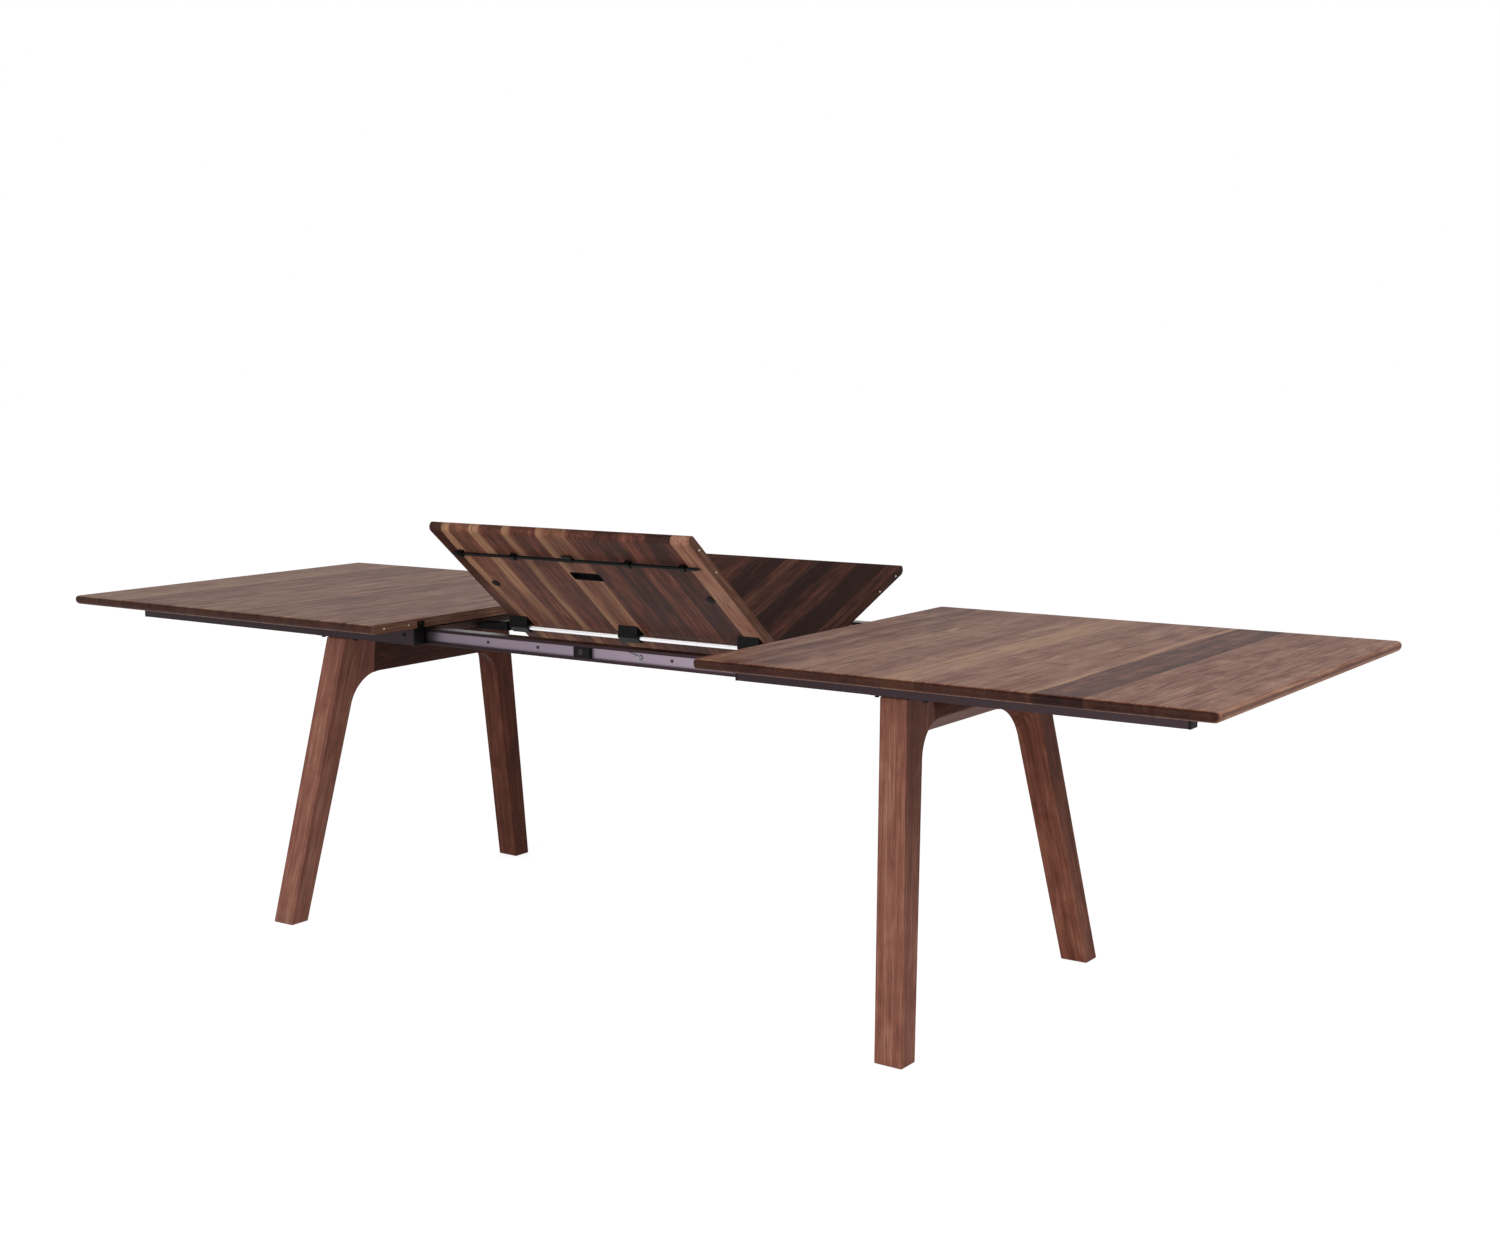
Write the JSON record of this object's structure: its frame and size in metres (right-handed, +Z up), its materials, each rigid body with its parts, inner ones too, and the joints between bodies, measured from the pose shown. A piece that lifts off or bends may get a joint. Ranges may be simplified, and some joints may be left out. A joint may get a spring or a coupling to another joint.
{
  "type": "extendable dining table",
  "caption": "Wooden dining table with sliding top halves on metal beams, splayed trestle legs and a folding butterfly leaf lifted half way.",
  "frame": {"origin": "on the floor under the middle of the table (bottom centre of the bounding box)", "axes": "+X along the table's length towards the half called right, +Y across it towards the back, +Z up"},
  "size_m": [2.99, 0.956, 0.9732],
  "materials": {
    "walnut": "oiled walnut, matt",
    "anodised_profile": "dark anodised, satin",
    "black_steel": "black powder coat",
    "black_plastic": "matt",
    "bright_steel": "ground bright",
    "brass_fitting": "satin",
    "rubber_pad": "matt"
  },
  "bodies": {
    "frame": {"left_front_leg": "walnut", "left_back_leg": "walnut", "left_apron": "walnut", "right_front_leg": "walnut", "right_back_leg": "walnut", "right_apron": "walnut", "foot_pads": "rubber_pad", "left_head_plate": "black_steel", "right_head_plate": "black_steel", "left_head_channel": "anodised_profile", "right_head_channel": "anodised_profile", "head_bolts": "black_steel", "front_beam": "anodised_profile", "back_beam": "anodised_profile", "beam_end_caps": "black_plastic", "beam_screws": "bright_steel", "left_cross_bar": "anodised_profile", "right_cross_bar": "anodised_profile", "leaf_rod": "bright_steel", "left_rod_bracket": "black_steel", "right_rod_bracket": "black_steel", "sync_block": "black_plastic", "sync_block_bolt": "bright_steel", "cable_eyelet": "bright_steel"},
    "left_half": {"left_top": "walnut", "left_front_rail": "anodised_profile", "left_back_rail": "anodised_profile", "left_rail_glides": "black_plastic", "left_end_bar": "anodised_profile", "left_rail_caps": "black_plastic", "left_rail_screws": "black_steel", "left_latch_plates": "black_steel", "left_dowels": "brass_fitting"},
    "right_half": {"right_top": "walnut", "right_front_rail": "anodised_profile", "right_back_rail": "anodised_profile", "right_rail_glides": "black_plastic", "right_end_bar": "anodised_profile", "right_rail_caps": "black_plastic", "right_rail_screws": "black_steel", "right_latch_plates": "black_steel", "right_sockets": "brass_fitting"},
    "leaf_front": {"front_leaf_panel": "walnut", "leaf_hinge_blocks": "black_steel", "finger_pull": "black_plastic", "lock_bar_clips": "black_plastic", "leaf_bumpers": "rubber_pad", "front_leaf_dowels": "brass_fitting", "front_leaf_sockets": "brass_fitting", "fold_hinge_front": "brass_fitting", "fold_hinge_pins": "bright_steel"},
    "leaf_back": {"back_leaf_panel": "walnut", "fold_hinge_back": "brass_fitting", "back_leaf_dowels": "brass_fitting", "back_leaf_sockets": "brass_fitting"},
    "lock_bar": {"lock_bar": "black_steel"}
  },
  "joints": [
    {"name": "left_slide", "type": "slide", "parent": "frame", "child": "left_half", "axis": [1, 0, 0], "range_m": [0, 0.075]},
    {"name": "right_slide", "type": "slide", "parent": "frame", "child": "right_half", "axis": [-1, 0, 0], "range_m": [0, 0.075]},
    {"name": "leaf_lift", "type": "hinge", "parent": "frame", "child": "leaf_front", "pos_m": [0, -0.12, 0.716], "axis": [-1, 0, 0], "range_deg": [-41, 31]},
    {"name": "leaf_fold", "type": "hinge", "parent": "leaf_front", "child": "leaf_back", "pos_m": [0, -0.00713, 0.66293], "axis": [1, 0, 0], "range_deg": [-63.6, 48.1]},
    {"name": "lock_bar_turn", "type": "hinge", "parent": "leaf_front", "child": "lock_bar", "pos_m": [0, -0.32295, 0.9017], "axis": [1, 0, 0], "range_deg": [0, 90]}
  ],
  "couplings": [
    {"joint": "right_slide", "follows": "left_slide", "ratio": 1},
    {"joint": "leaf_fold", "follows": "leaf_lift", "ratio": 1.55}
  ]
}
